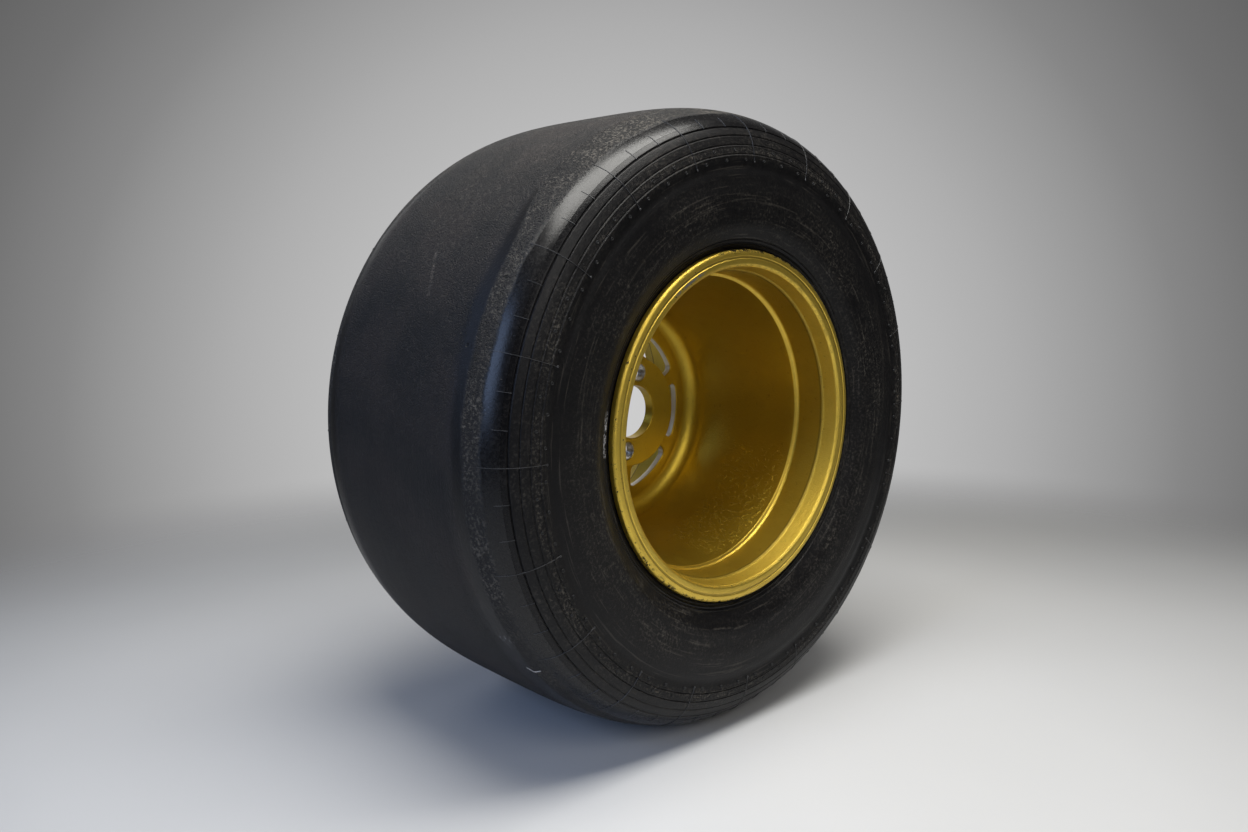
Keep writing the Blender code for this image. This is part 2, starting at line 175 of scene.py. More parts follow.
class StudioSizes(bpy.types.PropertyGroup):
    """The camera, the floor and the lights."""

    azimuth: bpy.props.FloatProperty(name="Azimuth", default=math.radians(-43.0),
                                     subtype="ANGLE", description="Camera turn about Z")
    elevation: bpy.props.FloatProperty(name="Elevation", default=math.radians(8.25),
                                       subtype="ANGLE", description="Camera tilt downwards")
    place: bpy.props.FloatVectorProperty(name="Camera place", size=3, unit="LENGTH",
                                         default=(-0.7808, -0.8113, 0.1594),
                                         description="Where the camera stands")
    lens: bpy.props.FloatProperty(name="Lens", default=28.85, description="Focal length in mm")
    floor: bpy.props.FloatVectorProperty(name="Floor", subtype="COLOR", size=3, min=0, max=1,
                                         default=(0.66, 0.66, 0.66),
                                         description="Pale paper floor")


# ---- meshes


def keep(name, mesh, material, crease=35.0):
    """A mesh as an object with its faces outwards, smooth but for creases over that angle."""
    shape = bmesh.new()
    shape.from_mesh(mesh)
    if shape.calc_volume(signed=True) < 0:
        bmesh.ops.reverse_faces(shape, faces=shape.faces)
    shape.to_mesh(mesh)
    shape.free()
    mesh.shade_smooth()
    mesh.set_sharp_from_angle(angle=math.radians(crease))
    mesh.materials.clear()
    mesh.materials.append(material)
    obj = bpy.data.objects.new(name, mesh)
    bpy.context.scene.collection.objects.link(obj)
    return obj


def mesh_of(name, points, faces):
    mesh = bpy.data.meshes.new(name)
    mesh.from_pydata(points, [], faces)
    mesh.update()
    return mesh


def turned(name, outline, steps, place=None):
    """The mesh of a closed section turned once round the axle line, or round a moved one."""
    count = len(outline)
    points = []
    faces = []
    for step in range(steps):
        turn = 2 * math.pi * (step + 0.5) / steps
        c, s = math.cos(turn) * MM, math.sin(turn) * MM
        points += [(radius * c, along * MM, radius * s) for radius, along in outline]
        here, there = step * count, (step + 1) % steps * count
        for i in range(count):
            j = (i + 1) % count
            faces.append((here + i, here + j, there + j, there + i))
    mesh = mesh_of(name, points, faces)
    if place:
        mesh.transform(place)
    return mesh


def lofted(name, rings):
    """A closed mesh through rings of equally many points, with its two ends filled."""
    count = len(rings[0])
    points = [point for ring in rings for point in ring]
    faces = [tuple(range(count)), tuple(range(len(points) - 1, len(points) - count - 1, -1))]
    for row in range(len(rings) - 1):
        for i in range(count):
            j = (i + 1) % count
            a, b = row * count, (row + 1) * count
            faces.append((a + j, a + i, b + i, b + j))
    return mesh_of(name, points, faces)


def ride(obj, slot, *nodes, body=BODY):
    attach(obj, body)
    if nodes:
        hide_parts(*nodes)
    return obj


def mirrored(line):
    return [(radius, -along) for radius, along in line]


def cut(obj, *cutters, operation="DIFFERENCE"):
    """Cuts the cutters from an object, or joins them to it, and leaves a plain mesh."""
    for cutter in cutters:
        modifier = obj.modifiers.new("cut", "BOOLEAN")
        modifier.operation = operation
        modifier.solver = "EXACT"
        modifier.object = cutter
    graph = bpy.context.evaluated_depsgraph_get()
    mesh = bpy.data.meshes.new_from_object(obj.evaluated_get(graph))
    obj.modifiers.clear()
    obj.data = mesh
    for cutter in cutters:
        bpy.data.objects.remove(cutter)


def between(a, b, share):
    return tuple(x + (y - x) * share for x, y in zip(a, b))


def rounded(corners, arc=5):
    """A closed line with each (radius, along, rounding) corner eased, and its long runs held."""
    line = []
    count = len(corners)
    for i, (radius, along, rounding) in enumerate(corners):
        here = (radius, along)
        before = corners[i - 1][:2]
        after = corners[(i + 1) % count][:2]
        room = 0.45 * min(math.dist(here, before), math.dist(here, after))
        reach = min(rounding, room)
        if reach <= 0:
            line.append(here)
            continue
        start = between(here, before, reach / math.dist(here, before))
        end = between(here, after, reach / math.dist(here, after))
        for k in range(arc + 1):
            t = k / arc
            line.append(between(between(start, here, t), between(here, end, t), t))
    held = []
    for i, here in enumerate(line):
        after = line[(i + 1) % len(line)]
        length = math.dist(here, after)
        held.append(here)
        if length > 5:
            held += [between(here, after, 0.8 / length), between(here, after, 1 - 0.8 / length)]
    return held


# ---- repeats, made with Geometry Nodes


def round_tree():
    """A node tree that repeats a part round the Y axis, all but every so many-th place."""
    tree = bpy.data.node_groups.new("Repeat round the axle", "GeometryNodeTree")
    face = tree.interface
    for name, kind in (("Part", "NodeSocketObject"), ("Count", "NodeSocketInt"),
                       ("First turn", "NodeSocketFloat"), ("Step", "NodeSocketFloat"),
                       ("Every", "NodeSocketInt"), ("Leave out", "NodeSocketBool"),
                       ("Jitter", "NodeSocketFloat"), ("Seed", "NodeSocketInt"),
                       ("Finish", "NodeSocketMaterial")):
        face.new_socket(name, in_out="INPUT", socket_type=kind)
    face.new_socket("Geometry", in_out="OUTPUT", socket_type="NodeSocketGeometry")
    nodes, links = tree.nodes, tree.links
    given = nodes.new("NodeGroupInput")

    def math_node(operation, a, b):
        node = nodes.new("ShaderNodeMath")
        node.operation = operation
        for socket, value in zip(node.inputs, (a, b)):
            if isinstance(value, (int, float)):
                socket.default_value = value
            else:
                links.new(value, socket)
        return node.outputs[0]

    points = nodes.new("GeometryNodePoints")
    links.new(given.outputs["Count"], points.inputs["Count"])
    index = nodes.new("GeometryNodeInputIndex").outputs[0]
    turn = math_node("ADD", math_node("MULTIPLY", index, given.outputs["Step"]),
                     given.outputs["First turn"])
    drift = nodes.new("FunctionNodeRandomValue")
    drift.data_type = "FLOAT"
    drift.inputs[2].default_value = -1.0
    drift.inputs[3].default_value = 1.0
    links.new(given.outputs["Seed"], drift.inputs["Seed"])
    turn = math_node("ADD", turn, math_node("MULTIPLY", drift.outputs[1], given.outputs["Jitter"]))
    place = nodes.new("ShaderNodeCombineXYZ")
    links.new(math_node("MULTIPLY", turn, -1.0), place.inputs["Y"])
    share = math_node("MODULO", index, given.outputs["Every"])
    first = math_node("LESS_THAN", share, 0.5)
    chosen = math_node("ABSOLUTE", math_node("SUBTRACT", first, given.outputs["Leave out"]), 0.0)
    part = nodes.new("GeometryNodeObjectInfo")
    links.new(given.outputs["Part"], part.inputs["Object"])
    copies = nodes.new("GeometryNodeInstanceOnPoints")
    links.new(points.outputs[0], copies.inputs["Points"])
    links.new(chosen, copies.inputs["Selection"])
    links.new(part.outputs["Geometry"], copies.inputs["Instance"])
    links.new(place.outputs[0], copies.inputs["Rotation"])
    real = nodes.new("GeometryNodeRealizeInstances")
    links.new(copies.outputs[0], real.inputs[0])
    painted = nodes.new("GeometryNodeSetMaterial")
    links.new(real.outputs[0], painted.inputs["Geometry"])
    links.new(given.outputs["Finish"], painted.inputs["Material"])
    end = nodes.new("NodeGroupOutput")
    links.new(painted.outputs[0], end.inputs[0])
    return tree


def repeated(name, part_mesh, material, **inputs):
    """A part's mesh repeated round the Y axis, as one plain mesh object."""
    tree = bpy.data.node_groups.get("Repeat round the axle") or round_tree()
    part = bpy.data.objects.new(name + "_part", part_mesh)
    bpy.context.scene.collection.objects.link(part)
    host = bpy.data.objects.new(name, bpy.data.meshes.new(name))
    bpy.context.scene.collection.objects.link(host)
    modifier = host.modifiers.new("repeat", "NODES")
    modifier.node_group = tree
    values = {"Part": part, "Every": 1, "Leave out": False, "Jitter": 0.0, "Seed": 1,
              "First turn": 0.0, "Finish": material} | inputs
    values.setdefault("Step", 2 * math.pi / values["Count"])
    for item in tree.interface.items_tree:
        if item.in_out == "INPUT":
            modifier[item.identifier] = values[item.name]
    graph = bpy.context.evaluated_depsgraph_get()
    mesh = bpy.data.meshes.new_from_object(host.evaluated_get(graph))
    bpy.data.objects.remove(host)
    bpy.data.objects.remove(part)
    return keep(name, mesh, material)


# ---- finishes


class Paint:
    """A material's node tree, with short calls for the nodes that the finishes share."""

    def __init__(self, name, metallic=0.0, roughness=0.5, **constants):
        self.material = bpy.data.materials.new(name)
        self.material.use_nodes = True
        self.nodes = self.material.node_tree.nodes
        self.links = self.material.node_tree.links
        self.shader = self.nodes["Principled BSDF"]
        self.shader.inputs["Metallic"].default_value = metallic
        self.shader.inputs["Roughness"].default_value = roughness
        for socket, value in constants.items():
            self.shader.inputs[socket.replace("_", " ")].default_value = value
        self.place = self.vector("MULTIPLY", self.nodes.new("ShaderNodeTexCoord").outputs["Object"],
                                 (1 / MM,) * 3)
        split = self.nodes.new("ShaderNodeSeparateXYZ")
        self.links.new(self.place, split.inputs[0])
        self.x, self.y, self.z = split.outputs

    def put(self, socket, value):
        if isinstance(value, bpy.types.NodeSocket):
            self.links.new(value, socket)
        elif isinstance(value, tuple) and len(value) == 3 and socket.type == "RGBA":
            socket.default_value = (*value, 1)
        else:
            socket.default_value = value

    def vector(self, operation, a, b, output="Vector"):
        node = self.nodes.new("ShaderNodeVectorMath")
        node.operation = operation
        self.put(node.inputs[0], a)
        self.put(node.inputs[1], b)
        return node.outputs[output]

    def math(self, operation, a, b=0.0, c=0.0, clamp=False):
        node = self.nodes.new("ShaderNodeMath")
        node.operation = operation
        node.use_clamp = clamp
        for socket, value in zip(node.inputs, (a, b, c)):
            self.put(socket, value)
        return node.outputs[0]

    def radius(self):
        """Distance from the axle line, in mm."""
        square = self.math("MULTIPLY", self.x, self.x)
        return self.math("SQRT", self.math("MULTIPLY_ADD", self.z, self.z, square))

    def angle(self):
        """Turn round the axle in degrees, 0 on the +X side and 90 at the top."""
        return self.math("MULTIPLY", self.math("ARCTAN2", self.z, self.x), 180 / math.pi)

    def noise(self, scale, detail=3.0, rough=0.55, stretch=(1, 1, 1), vector=None):
        """A noise pattern from 0 to 1, with scale in features per millimetre."""
        node = self.nodes.new("ShaderNodeTexNoise")
        self.put(node.inputs["Vector"], self.vector("MULTIPLY", vector or self.place, stretch))
        node.inputs["Scale"].default_value = scale
        node.inputs["Detail"].default_value = detail
        node.inputs["Roughness"].default_value = rough
        return node.outputs["Fac"]

    def cells(self, scale):
        """Distance to scattered points, with scale in points per millimetre."""
        node = self.nodes.new("ShaderNodeTexVoronoi")
        self.put(node.inputs["Vector"], self.place)
        node.inputs["Scale"].default_value = scale
        return node.outputs["Distance"]

    def ramp(self, value, *stops):
        """A piecewise line through (place, height) stops, over any range of places."""
        low, high = stops[0][0], stops[-1][0]
        share = self.math("DIVIDE", self.math("SUBTRACT", value, low), high - low)
        node = self.nodes.new("ShaderNodeValToRGB")
        bar = node.color_ramp.elements
        bar[0].position, bar[1].position = 0.0, 1.0
        bar[0].color = (stops[0][1],) * 3 + (1,)
        bar[1].color = (stops[-1][1],) * 3 + (1,)
        for at, height in stops[1:-1]:
            bar.new((at - low) / (high - low)).color = (height,) * 3 + (1,)
        self.links.new(share, node.inputs[0])
        return node.outputs[0]

    def over(self, value, low, high):
        """0 below low, 1 above high, and smooth between; turned round if low is above high."""
        node = self.nodes.new("ShaderNodeMapRange")
        node.interpolation_type = "SMOOTHSTEP"
        self.put(node.inputs["Value"], value)
        node.inputs["From Min"].default_value = low
        node.inputs["From Max"].default_value = high
        return node.outputs[0]

    def within(self, value, low, high, soft):
        """1 between low and high, with ends that soften over soft either way."""
        return self.math("MULTIPLY", self.over(value, low - soft, low + soft),
                         self.over(value, high + soft, high - soft))

    def mix(self, share, a, b):
        node = self.nodes.new("ShaderNodeMix")
        node.data_type = "RGBA"
        self.put(node.inputs[0], share)
        self.put(node.inputs[6], a)
        self.put(node.inputs[7], b)
        return node.outputs[2]

    def times(self, *values):
        result = values[0]
        for value in values[1:]:
            result = self.math("MULTIPLY", result, value)
        return result

    def plus(self, *values):
        result = values[0]
        for value in values[1:]:
            result = self.math("ADD", result, value)
        return result

    def near(self, point, low, high):
        """1 within low mm of a point, fading to 0 at high mm."""
        return self.over(self.vector("DISTANCE", self.place, point, "Value"), high, low)

    def length(self, vector):
        return self.math("SQRT", self.vector("DOT_PRODUCT", vector, vector, "Value"))

    def joined(self, x, y, z):
        node = self.nodes.new("ShaderNodeCombineXYZ")
        for socket, value in zip(node.inputs, (x, y, z)):
            self.put(socket, value)
        return node.outputs[0]

    def scratch(self, half, *points):
        """1 along a bent line through points in mm, fading out at twice that half width."""
        drawn = None
        for start, end in zip(points, points[1:]):
            run = Vector(end) - Vector(start)
            offset = self.vector("SUBTRACT", self.place, start)
            share = self.math("DIVIDE", self.vector("DOT_PRODUCT", offset, tuple(run), "Value"),
                              run.length_squared, clamp=True)
            foot = self.vector("MULTIPLY", self.joined(share, share, share), tuple(run))
            gap = self.vector("SUBTRACT", offset, foot)
            one = self.over(self.length(gap), half * 2, half)
            drawn = self.math("MAXIMUM", drawn, one) if drawn else one
        return drawn

    def round_place(self, radius):
        """A place whose first number is the radius, and whose others follow the turn."""
        across, up = (self.times(self.math("DIVIDE", axis, radius), ROUND_SPREAD)
                      for axis in (self.x, self.z))
        return self.joined(radius, across, up)

    def bump(self, height, depth, strength=1.0, after=None):
        """Adds relief of that depth in metres, and returns the normal."""
        node = self.nodes.new("ShaderNodeBump")
        node.inputs["Strength"].default_value = strength
        node.inputs["Distance"].default_value = depth
        self.put(node.inputs["Height"], height)
        if after:
            self.put(node.inputs["Normal"], after)
        return node.outputs[0]

    def done(self, colour=None, roughness=None, normal=None, metallic=None):
        for name, value in (("Base Color", colour), ("Roughness", roughness),
                            ("Normal", normal), ("Metallic", metallic)):
            if value is not None:
                self.put(self.shader.inputs[name], value)
        return self.material


def on_tyre(angle, radius, along):
    """A point in mm from its angle round the axle, its radius and its place along the axle."""
    turn = math.radians(angle)
    return (radius * math.cos(turn), along, radius * math.sin(turn))


def slick_rubber(name, finishes, shine):
    """Worn rubber whose zones follow the section from the crown down to the bead."""
    p = Paint(name, Specular_IOR_Level=shine)
    radius = p.radius()
    side = p.math("ABSOLUTE", p.y)
    run = p.math("SUBTRACT", p.math("ADD", side, WIDEST_R), radius)
    wander = p.math("MULTIPLY_ADD", p.noise(0.035, 2), 7.0, p.math("ADD", run, -3.5))
    round_place = p.round_place(radius)
    tread = p.over(wander, 22, 12)
    wall = p.over(run, 84, 96)
    grain = p.noise(0.34, 4, 0.72)
    fine = p.noise(1.1, 3, 0.65)
    patches = p.noise(0.012, 3, 0.6)
    blotch = p.noise(0.09, 4, 0.7)
    streaks = p.noise(1.0, 3, 0.6, stretch=(0.012, 0.16, 0.012))
    rings = p.noise(1.0, 3, 0.65, stretch=(0.45, 0.035, 0.035), vector=round_place)
    rasp = p.over(p.cells(0.42), 0.10, 0.45)

    turn = p.angle()
    lean = p.times(p.over(turn, 146, 126), p.over(turn, 40, 70), 20)
    rough = p.times(p.over(p.plus(wander, lean), 27, 34), p.over(wander, 58, 50))
    top = p.over(p.z, 100, 300)
    level = p.ramp(wander, (-92, 0.10), (-40, 0.10), (2, 0.08), (11, 0.04), (17, 0.02),
                   (56, 0.03), (86, 0.04), (96, 0.06), (113, 0.09), (118, 0.19), (124, 0.16),
                   (129, 0.03), (140, 0.01), (152, 0.04), (166, 0.09), (186, 0.09),
                   (196, 0.05), (210, 0.03))
    # Painted light: the real dust and the rough band are made lighter towards the top of the tyre, as
    # if lit from above.
    level = p.times(level, p.math("MULTIPLY_ADD", p.times(top, tread), 1.9, 0.75))
    level = p.plus(level, p.times(rough, p.math("MULTIPLY_ADD", top, 0.22, 0.22)))
    speckle = p.math("MULTIPLY_ADD", p.over(grain, 0.48, 0.62), 2.4, 0.12)
    worn = p.times(level, speckle)
    worn = p.times(worn, p.math("MULTIPLY_ADD", p.over(patches, 0.3, 0.7), 1.1, 0.45))
    worn = p.times(worn, p.math("MULTIPLY_ADD", p.over(blotch, 0.35, 0.65), 0.9, 0.5))
    worn = p.times(worn, p.math("MULTIPLY_ADD", streaks, 1.1, 0.45))
    worn = p.times(worn, p.math("MULTIPLY_ADD", p.times(p.over(rings, 0.4, 0.62), wall), 1.0, 0.75))
    flecks = p.times(p.over(p.cells(0.11), 0.075, 0.04), p.over(p.noise(0.02, 1), 0.46, 0.58))
    specks = p.times(p.over(p.cells(0.27), 0.16, 0.09), p.over(p.noise(0.07, 2), 0.52, 0.62),
                     p.math("MULTIPLY_ADD", tread, 0.75, 0.25))
    worn = p.plus(worn, p.times(flecks, 0.45), p.times(specks, 0.30))
    scuff = p.times(p.scratch(1.3, on_tyre(147.3, 325, -14.9), on_tyre(151.0, 325, -24.5),
                              on_tyre(154.8, 325, -32.4)), p.over(p.noise(0.3, 3, 0.7), 0.42, 0.6))
    lines = p.times(p.over(rings, 0.60, 0.66), p.within(radius, 181, 268, 4), 0.22)
    worn = p.plus(worn, p.times(scuff, 0.75), lines)
    residue = p.times(p.within(radius, 186.5, 192.5, 1.0), p.near(on_tyre(176, 190, -151), 16, 24),
                      p.over(p.noise(0.35, 4, 0.8), 0.5, 0.58))
    nick = p.scratch(0.5, on_tyre(-141.1, 320.1, -110.8), on_tyre(-140.1, 318.9, -116.0),
                     on_tyre(-140.5, 316.7, -124.3))
    crumbs = p.times(p.near(on_tyre(-148.0, 320.0, -110.0), 5, 11),
                     p.over(p.noise(0.5, 3, 0.7), 0.60, 0.66))
    white = p.math("MINIMUM", p.plus(residue, nick, p.times(crumbs, 0.8)), 1.0)
    pocks = None
    for angle, r, along, size in ((150.8, 316.3, -125.4, 2.4), (162.2, 320.5, -108.5, 2.0),
                                  (158.5, 324.9, -44.5, 1.6), (165.9, 324.9, 38.0, 1.5),
                                  (118.0, 324.0, -70.0, 1.8), (-150.0, 322.0, -95.0, 1.9),
                                  (40.0, 322.4, 96.0, 2.2), (-60.0, 324.5, 12.0, 2.0)):
        spot = p.near(on_tyre(angle, r, along), size * 0.6, size)
        pocks = p.math("MAXIMUM", pocks, spot) if pocks else spot
    colour = p.mix(worn, finishes.rubber[:], finishes.dust[:])
    colour = p.mix(p.times(tread, p.over(patches, 0.35, 0.7), 0.5), colour,
                   (0.022, 0.0165, 0.0150))
    colour = p.mix(white, colour, (0.42, 0.42, 0.43))
    colour = p.mix(pocks, colour, (0.001, 0.001, 0.001))

    dull = p.ramp(wander, (-92, 0.66), (0, 0.62), (12, 0.46), (20, 0.40), (44, 0.36),
                  (52, 0.28), (84, 0.26), (90, 0.40), (112, 0.46), (118, 0.60), (124, 0.58),
                  (134, 0.46), (156, 0.50), (172, 0.52), (190, 0.44), (210, 0.40))
    dull = p.plus(dull, p.times(p.math("ADD", grain, -0.5), 0.25), p.times(rough, 0.30),
                  p.times(p.math("ADD", patches, -0.5), 0.22), p.times(white, 0.3))

    rough_zone = p.ramp(wander, (-92, 1.0), (8, 0.9), (17, 0.25), (30, 0.15), (48, 0.03),
                        (86, 0.05), (96, 0.15), (113, 0.2), (119, 0.4), (124, 0.35), (130, 0.10),
                        (150, 0.14), (175, 0.16), (210, 0.12))
    rough_zone = p.plus(rough_zone, rough)
    relief = p.plus(p.times(grain, 0.8), p.times(rasp, 0.4), p.times(fine, 0.4),
                    p.times(streaks, 0.35), -1.06)
    normal = p.bump(p.times(relief, rough_zone), 0.0022, 0.7)
    normal = p.bump(p.plus(p.times(p.noise(0.03, 2), p.over(run, 60, 30), 0.7),
                           p.times(p.noise(0.018, 1), 0.8)), 0.0014, 0.35, normal)
    normal = p.bump(p.math("SUBTRACT", 1.0, pocks), 0.0008, 0.8, normal)
    return p.done(colour, dull, normal)


def plain_rubber(name, colour, dull=0.55, scale=0.6):
    p = Paint(name, roughness=dull)
    mottle = p.noise(scale * 0.12, 3)
    grain = p.noise(scale, 4, 0.65)
    shade = p.mix(p.over(mottle, 0.3, 0.75), colour, tuple(c * 2.2 + 0.006 for c in colour))
    rough = p.plus(p.times(p.math("ADD", grain, -0.5), 0.3), dull)
    return p.done(shade, rough, p.bump(grain, 0.0004, 0.5))


def cord_fabric(name, colour, turn):
    """Rubbered cord: fine parallel cords on the bias, with the rubber between them."""
    p = Paint(name, roughness=0.8)
    sweep = p.plus(p.times(p.angle(), turn), p.times(p.y, 0.55))
    cord = p.math("SINE", p.times(sweep, 4.2))
    weft = p.math("SINE", p.plus(p.times(p.y, 0.9), p.times(p.radius(), 0.9)))
    ridge = p.math("MULTIPLY_ADD", cord, 0.5, 0.5)
    shade = p.mix(p.over(ridge, 0.1, 0.7), tuple(c * 0.3 for c in colour), colour)
    shade = p.mix(p.times(p.over(weft, 0.9, 1.0), 0.4), shade, tuple(c * 0.5 for c in colour))
    shade = p.mix(p.over(p.noise(0.03, 3), 0.45, 0.7), shade, (0.02, 0.019, 0.018))
    fuzz = p.noise(1.5, 3)
    return p.done(shade, p.math("MULTIPLY_ADD", fuzz, 0.2, 0.7),
                  p.bump(p.plus(ridge, p.times(fuzz, 0.3)), 0.0004, 0.6))


def bead_wire(name):
    """Bronze-coated wires laid side by side round the axle."""
    p = Paint(name, metallic=1.0)
    strand = p.math("SINE", p.times(p.plus(p.radius(), p.times(p.y, 0.6)), 6.0))
    ridge = p.math("MULTIPLY_ADD", strand, 0.5, 0.5)
    stain = p.noise(0.08, 4)
    shade = p.mix(ridge, (0.12, 0.07, 0.035), (0.62, 0.44, 0.26))
    shade = p.mix(p.over(stain, 0.5, 0.72), shade, (0.08, 0.045, 0.025))
    return p.done(shade, p.math("MULTIPLY_ADD", stain, 0.35, 0.22), p.bump(ridge, 0.0004, 0.7))


def bare_metal(name, light, dark, dull=0.3, scale=0.5):
    """Machined metal with fine turning lines, tarnish in patches and small scratches."""
    p = Paint(name, metallic=1.0)
    lines = p.noise(1.0, 2, 0.6, stretch=(3.2, 3.2, 3.2))
    tarnish = p.noise(scale * 0.4, 4, 0.65)
    scratch = p.over(p.noise(1.0, 2, 0.5, stretch=(0.25, 4.0, 0.25)), 0.62, 0.7)
    shade = p.mix(p.over(tarnish, 0.4, 0.7), light, dark)
    rough = p.plus(p.times(p.math("ADD", tarnish, -0.5), 0.5), p.times(scratch, 0.15), dull)
    return p.done(shade, rough, p.bump(p.plus(lines, scratch), 0.00012, 0.5))


def gold_paint(name, finishes):
    """Metallic paint on the casting: worn and chipped at the lip, deep and smooth inside."""
    p = Paint(name, metallic=0.85, Coat_Weight=0.10, Coat_Roughness=0.3)
    radius = p.radius()
    side = p.math("ABSOLUTE", p.y)
    angle = p.angle()
    lip = p.times(p.over(side, 151.5, 153.5), p.over(radius, 160, 163))
    band = p.times(p.within(side, 135.2, 152.8, 0.8), p.over(radius, 158, 160))
    shelf = p.times(p.within(side, 101, 134.6, 0.8), p.over(radius, 155.5, 157.5))
    ridge = p.times(p.within(side, 99.0, 103.2, 1.0), p.within(radius, 154.8, 158.4, 0.6))
    # Painted shade in the corner of the rim's step and in the lip's small groove.
    step = p.times(p.within(side, 133.0, 136.6, 1.2), p.within(radius, 158.4, 162.0, 0.8), 0.5)
    groove = p.times(p.over(side, 153.9, 154.3), p.within(radius, 172.1, 174.1, 0.3),
                     p.over(side, 155.2, 154.9))
    flake = p.noise(2.4, 2, 0.7)
    sparkle = p.over(p.cells(1.6), 0.32, 0.08)
    mottle = p.noise(0.05, 4, 0.6)
    orange_peel = p.noise(0.32, 3, 0.6)

    # Painted light: the lip, the rim band and the bead shelf are made lighter where they face the
    # lamps, and the ridge gets a painted highlight line.
    light = p.plus(p.times(lip, 0.85), p.times(band, 0.45), p.times(ridge, 0.7),
                   p.times(shelf, 0.12), p.times(sparkle, 0.12))
    shade = p.mix(light, finishes.gold[:], finishes.lit_gold[:])
    shade = p.mix(p.times(p.over(mottle, 0.42, 0.75), 0.30), shade, (0.36, 0.235, 0.012))
    shade = p.mix(p.times(flake, 0.30), shade, (0.90, 0.66, 0.12))
    # Painted shade in the step and the lip groove, with real grime in random patches.
    grime_and_crease_shade = p.plus(step, p.times(groove, 0.4),
                   p.times(p.over(p.noise(0.12, 4, 0.75), 0.60, 0.72), 0.22))
    shade = p.mix(p.math("MINIMUM", grime_and_crease_shade, 1.0), shade, (0.035, 0.022, 0.006))

    edge = p.times(p.over(radius, 177.0, 180.0), p.over(side, 149, 152))
    inner_edge = p.times(lip, p.within(radius, 164.2, 166.6, 0.6), 0.25)
    wear = p.plus(p.times(p.within(angle, 20, 108, 14), 0.15),
                  p.times(p.over(p.math("ABSOLUTE", angle), 138, 165), 0.05),
                  p.times(p.within(angle, -150, -85, 14), 0.12),
                  p.times(p.within(angle, -70, 0, 14), 0.06))
    chip_noise = p.noise(0.23, 5, 0.72)
    chips = p.times(p.over(p.plus(chip_noise, wear), 0.66, 0.68), p.plus(edge, inner_edge))
    dots = p.times(p.over(p.cells(0.13), 0.12, 0.08), p.over(p.noise(0.03, 1), 0.48, 0.56),
                   p.plus(lip, p.times(band, 0.4)))
    streak = p.times(p.within(radius, 168.4, 170.9, 0.4), lip, p.within(angle, 112, 126, 2),
                     p.over(p.noise(0.12, 4, 0.7), 0.36, 0.46))
    shade = p.mix(streak, shade, (0.42, 0.38, 0.36))
    # Painted light: the window walls are made pale and less metallic, as if lit from behind the
    # wheel.
    depth = p.math("SUBTRACT", p.y, p.math("MULTIPLY_ADD", radius, WEB_RISE,
                                             WEB_FRONT[1] - WEB_FRONT[0] * WEB_RISE))
    inside = p.times(p.within(radius, 64.0, 103.5, 0.5), p.over(depth, 0.9, 2.0),
                     p.over(depth, 9.6, 8.2))
    shade = p.mix(inside, shade, (0.62, 0.56, 0.44))
    bare = p.math("MINIMUM", p.plus(chips, dots), 1.0)
    shade = p.mix(bare, shade, (0.016, 0.012, 0.010))
    boss_mark = p.scratch(0.35, (-28.0, BOSS_FACE, -38.0), (-24.5, BOSS_FACE, -33.5),
                          (-19.5, BOSS_FACE, -33.0))
    boss_mark = p.math("MAXIMUM", boss_mark,
                       p.scratch(0.3, (-24.5, BOSS_FACE, -33.5), (-25.5, BOSS_FACE, -28.0)))
    shade = p.mix(p.times(boss_mark, 0.7), shade, (0.85, 0.70, 0.42))

    runs = p.times(p.within(angle, -78, -22, 10), p.within(p.y, -92, -25, 8),
                   p.over(radius, 134, 137))
    drips = p.times(runs, p.over(p.noise(0.30, 3, 0.6, stretch=(1, 0.55, 1)), 0.54, 0.62))
    rough = p.plus(p.times(p.math("ADD", mottle, -0.5), 0.28), p.times(bare, 0.3),
                   p.times(band, 0.05), p.times(grime_and_crease_shade, 0.2), 0.36)
    coarse = p.plus(p.times(band, 1.0), p.times(lip, 0.35), p.times(shelf, 0.35), 0.12)
    normal = p.bump(p.times(p.plus(flake, p.times(p.over(p.cells(0.9), 0.1, 0.5), 0.8)), coarse),
                    0.0004, 0.55)
    normal = p.bump(p.plus(p.times(orange_peel, 0.35), p.times(drips, 1.3)), 0.0011, 0.6, normal)
    normal = p.bump(p.math("SUBTRACT", 1.0, bare), 0.00025, 0.8, normal)
    # The window walls' lower metallic goes with their painted light.
    return p.done(shade, rough, normal, p.math("MULTIPLY_ADD", inside, -0.5, 0.85))


# ---- the tyre


def skin_line():
    """The clean outer line from the crown to the outer bead, finely spaced."""
    line = []
    for k in range(281):
        along = 140.0 * k / 280
        rise = math.sqrt(1 - (along / HALF_WIDTH) ** (2 / POWER))
        line.append((WIDEST_R + (CROWN_R - WIDEST_R) * rise ** POWER, along))
    top = line[-1][0]
    for k in range(1, 601):
        radius = top + (WIDEST_R - top) * k / 600
        rise = ((radius - WIDEST_R) / (CROWN_R - WIDEST_R)) ** (1 / POWER)
        line.append((radius, HALF_WIDTH * math.sqrt(1 - rise * rise) ** POWER))
    run = [(246.0, 164.0)] + list(BEAD_RUN) + [(164.0, 145.5)]
    for a, b, c, d in zip(run, run[1:], run[2:], run[3:]):
        for k in range(1, 61):
            line.append(tuple(smooth_step(w, x, y, z, k / 60) for w, x, y, z in zip(a, b, c, d)))
    return line


def smooth_step(a, b, c, d, t):
    """A point on the smooth curve through b and c."""
    return 0.5 * (2 * b + (c - a) * t + (2 * a - 5 * b + 4 * c - d) * t * t
                  + (3 * b - a - 3 * c + d) * t ** 3)


